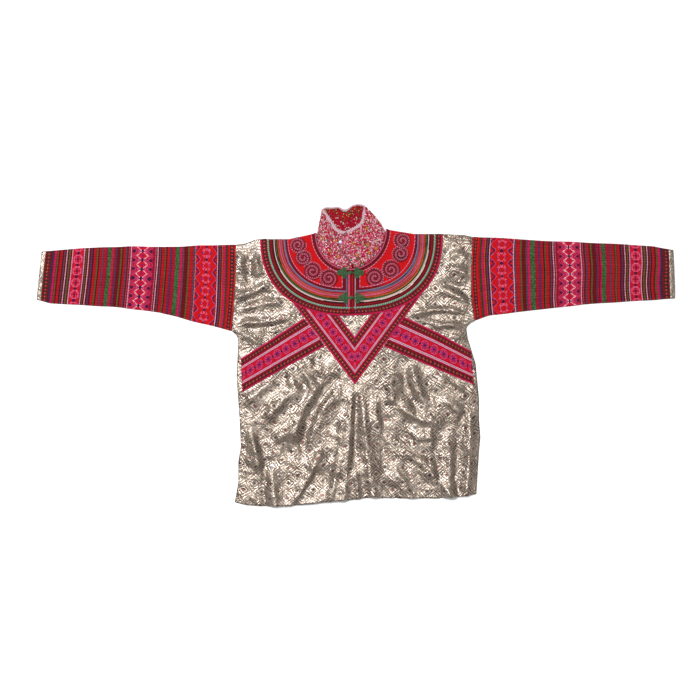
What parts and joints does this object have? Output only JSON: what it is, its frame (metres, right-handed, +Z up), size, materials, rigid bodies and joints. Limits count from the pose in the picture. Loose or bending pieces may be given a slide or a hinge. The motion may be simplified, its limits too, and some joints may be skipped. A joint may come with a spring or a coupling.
{
  "type": "hmong embroidered jacket",
  "caption": "Pull-over jacket laid flat: brocade body, round embroidered yoke, stitched V and side bands, pieced striped sleeves, fallen stand collar, knotted frog fasteners.",
  "frame": {"origin": "centre of the jacket's box in plan, on the surface that it lies on", "axes": "+X along the sleeves towards the wearer's left sleeve (the right one as seen), +Y from the hem to the collar, +Z up from the surface, out of the jacket's front"},
  "size_m": [1.467, 0.6957, 0.0128],
  "materials": {
    "brocade": "silver-taupe metallic brocade of concentric lozenges, glossy float threads",
    "yoke_cloth": "matt red twill with ringed braid and ribbon borders",
    "striped_cloth": "matt woven stripes in dark red, crimson, olive, blue-grey, pink, orange and white",
    "motif_cloth": "cross-stitched pink, white and purple motifs on red",
    "woven_ribbon": "narrow woven ribbon, brown-red with green and orange flowerets",
    "stitched_band": "embroidered band, red with pink rosettes, white and dark lines",
    "scroll_cord": "coiled pink cord on a crimson disc with a dark green edge",
    "sequin_cloth": "pink floral cloth with sequins, half gloss",
    "beaded_cloth": "red cloth set with small glass beads",
    "edge_binding": "narrow lavender-pink satin binding",
    "frog_cord": "green rayon cord, satin",
    "pearl": "small pearly stud, gloss"
  },
  "bodies": {
    "root": {"back_panel": "brocade", "chevron_band": "stitched_band", "collar": "sequin_cloth", "collar_binding": "edge_binding", "collar_lining": "beaded_cloth", "collar_stud": "pearl", "frog_button_lower": "frog_cord", "frog_button_upper": "frog_cord", "frog_knot_lower_left": "frog_cord", "frog_knot_lower_right": "frog_cord", "frog_knot_upper_left": "frog_cord", "frog_knot_upper_right": "frog_cord", "front_panel": "brocade", "left_cuff_binding": "brocade", "left_cuff_ribbon": "woven_ribbon", "left_cuff_stripes": "striped_cloth", "left_lower_motif": "motif_cloth", "left_lower_stripes": "striped_cloth", "left_middle_motif": "motif_cloth", "left_middle_stripes": "striped_cloth", "left_shoulder_ribbon": "woven_ribbon", "left_upper_motif": "motif_cloth", "left_upper_stripes": "striped_cloth", "neck_piping": "edge_binding", "right_cuff_binding": "brocade", "right_cuff_ribbon": "woven_ribbon", "right_cuff_stripes": "striped_cloth", "right_lower_motif": "motif_cloth", "right_lower_stripes": "striped_cloth", "right_middle_motif": "motif_cloth", "right_middle_stripes": "striped_cloth", "right_shoulder_ribbon": "woven_ribbon", "right_upper_motif": "motif_cloth", "right_upper_stripes": "striped_cloth", "scroll_left_1": "scroll_cord", "scroll_left_2": "scroll_cord", "scroll_left_3": "scroll_cord", "scroll_left_4": "scroll_cord", "scroll_right_1": "scroll_cord", "scroll_right_2": "scroll_cord", "scroll_right_3": "scroll_cord", "scroll_right_4": "scroll_cord", "side_band_left": "stitched_band", "side_band_right": "stitched_band", "slit_placket": "stitched_band", "slit_tab": "woven_ribbon", "yoke": "yoke_cloth"}
  },
  "joints": []
}
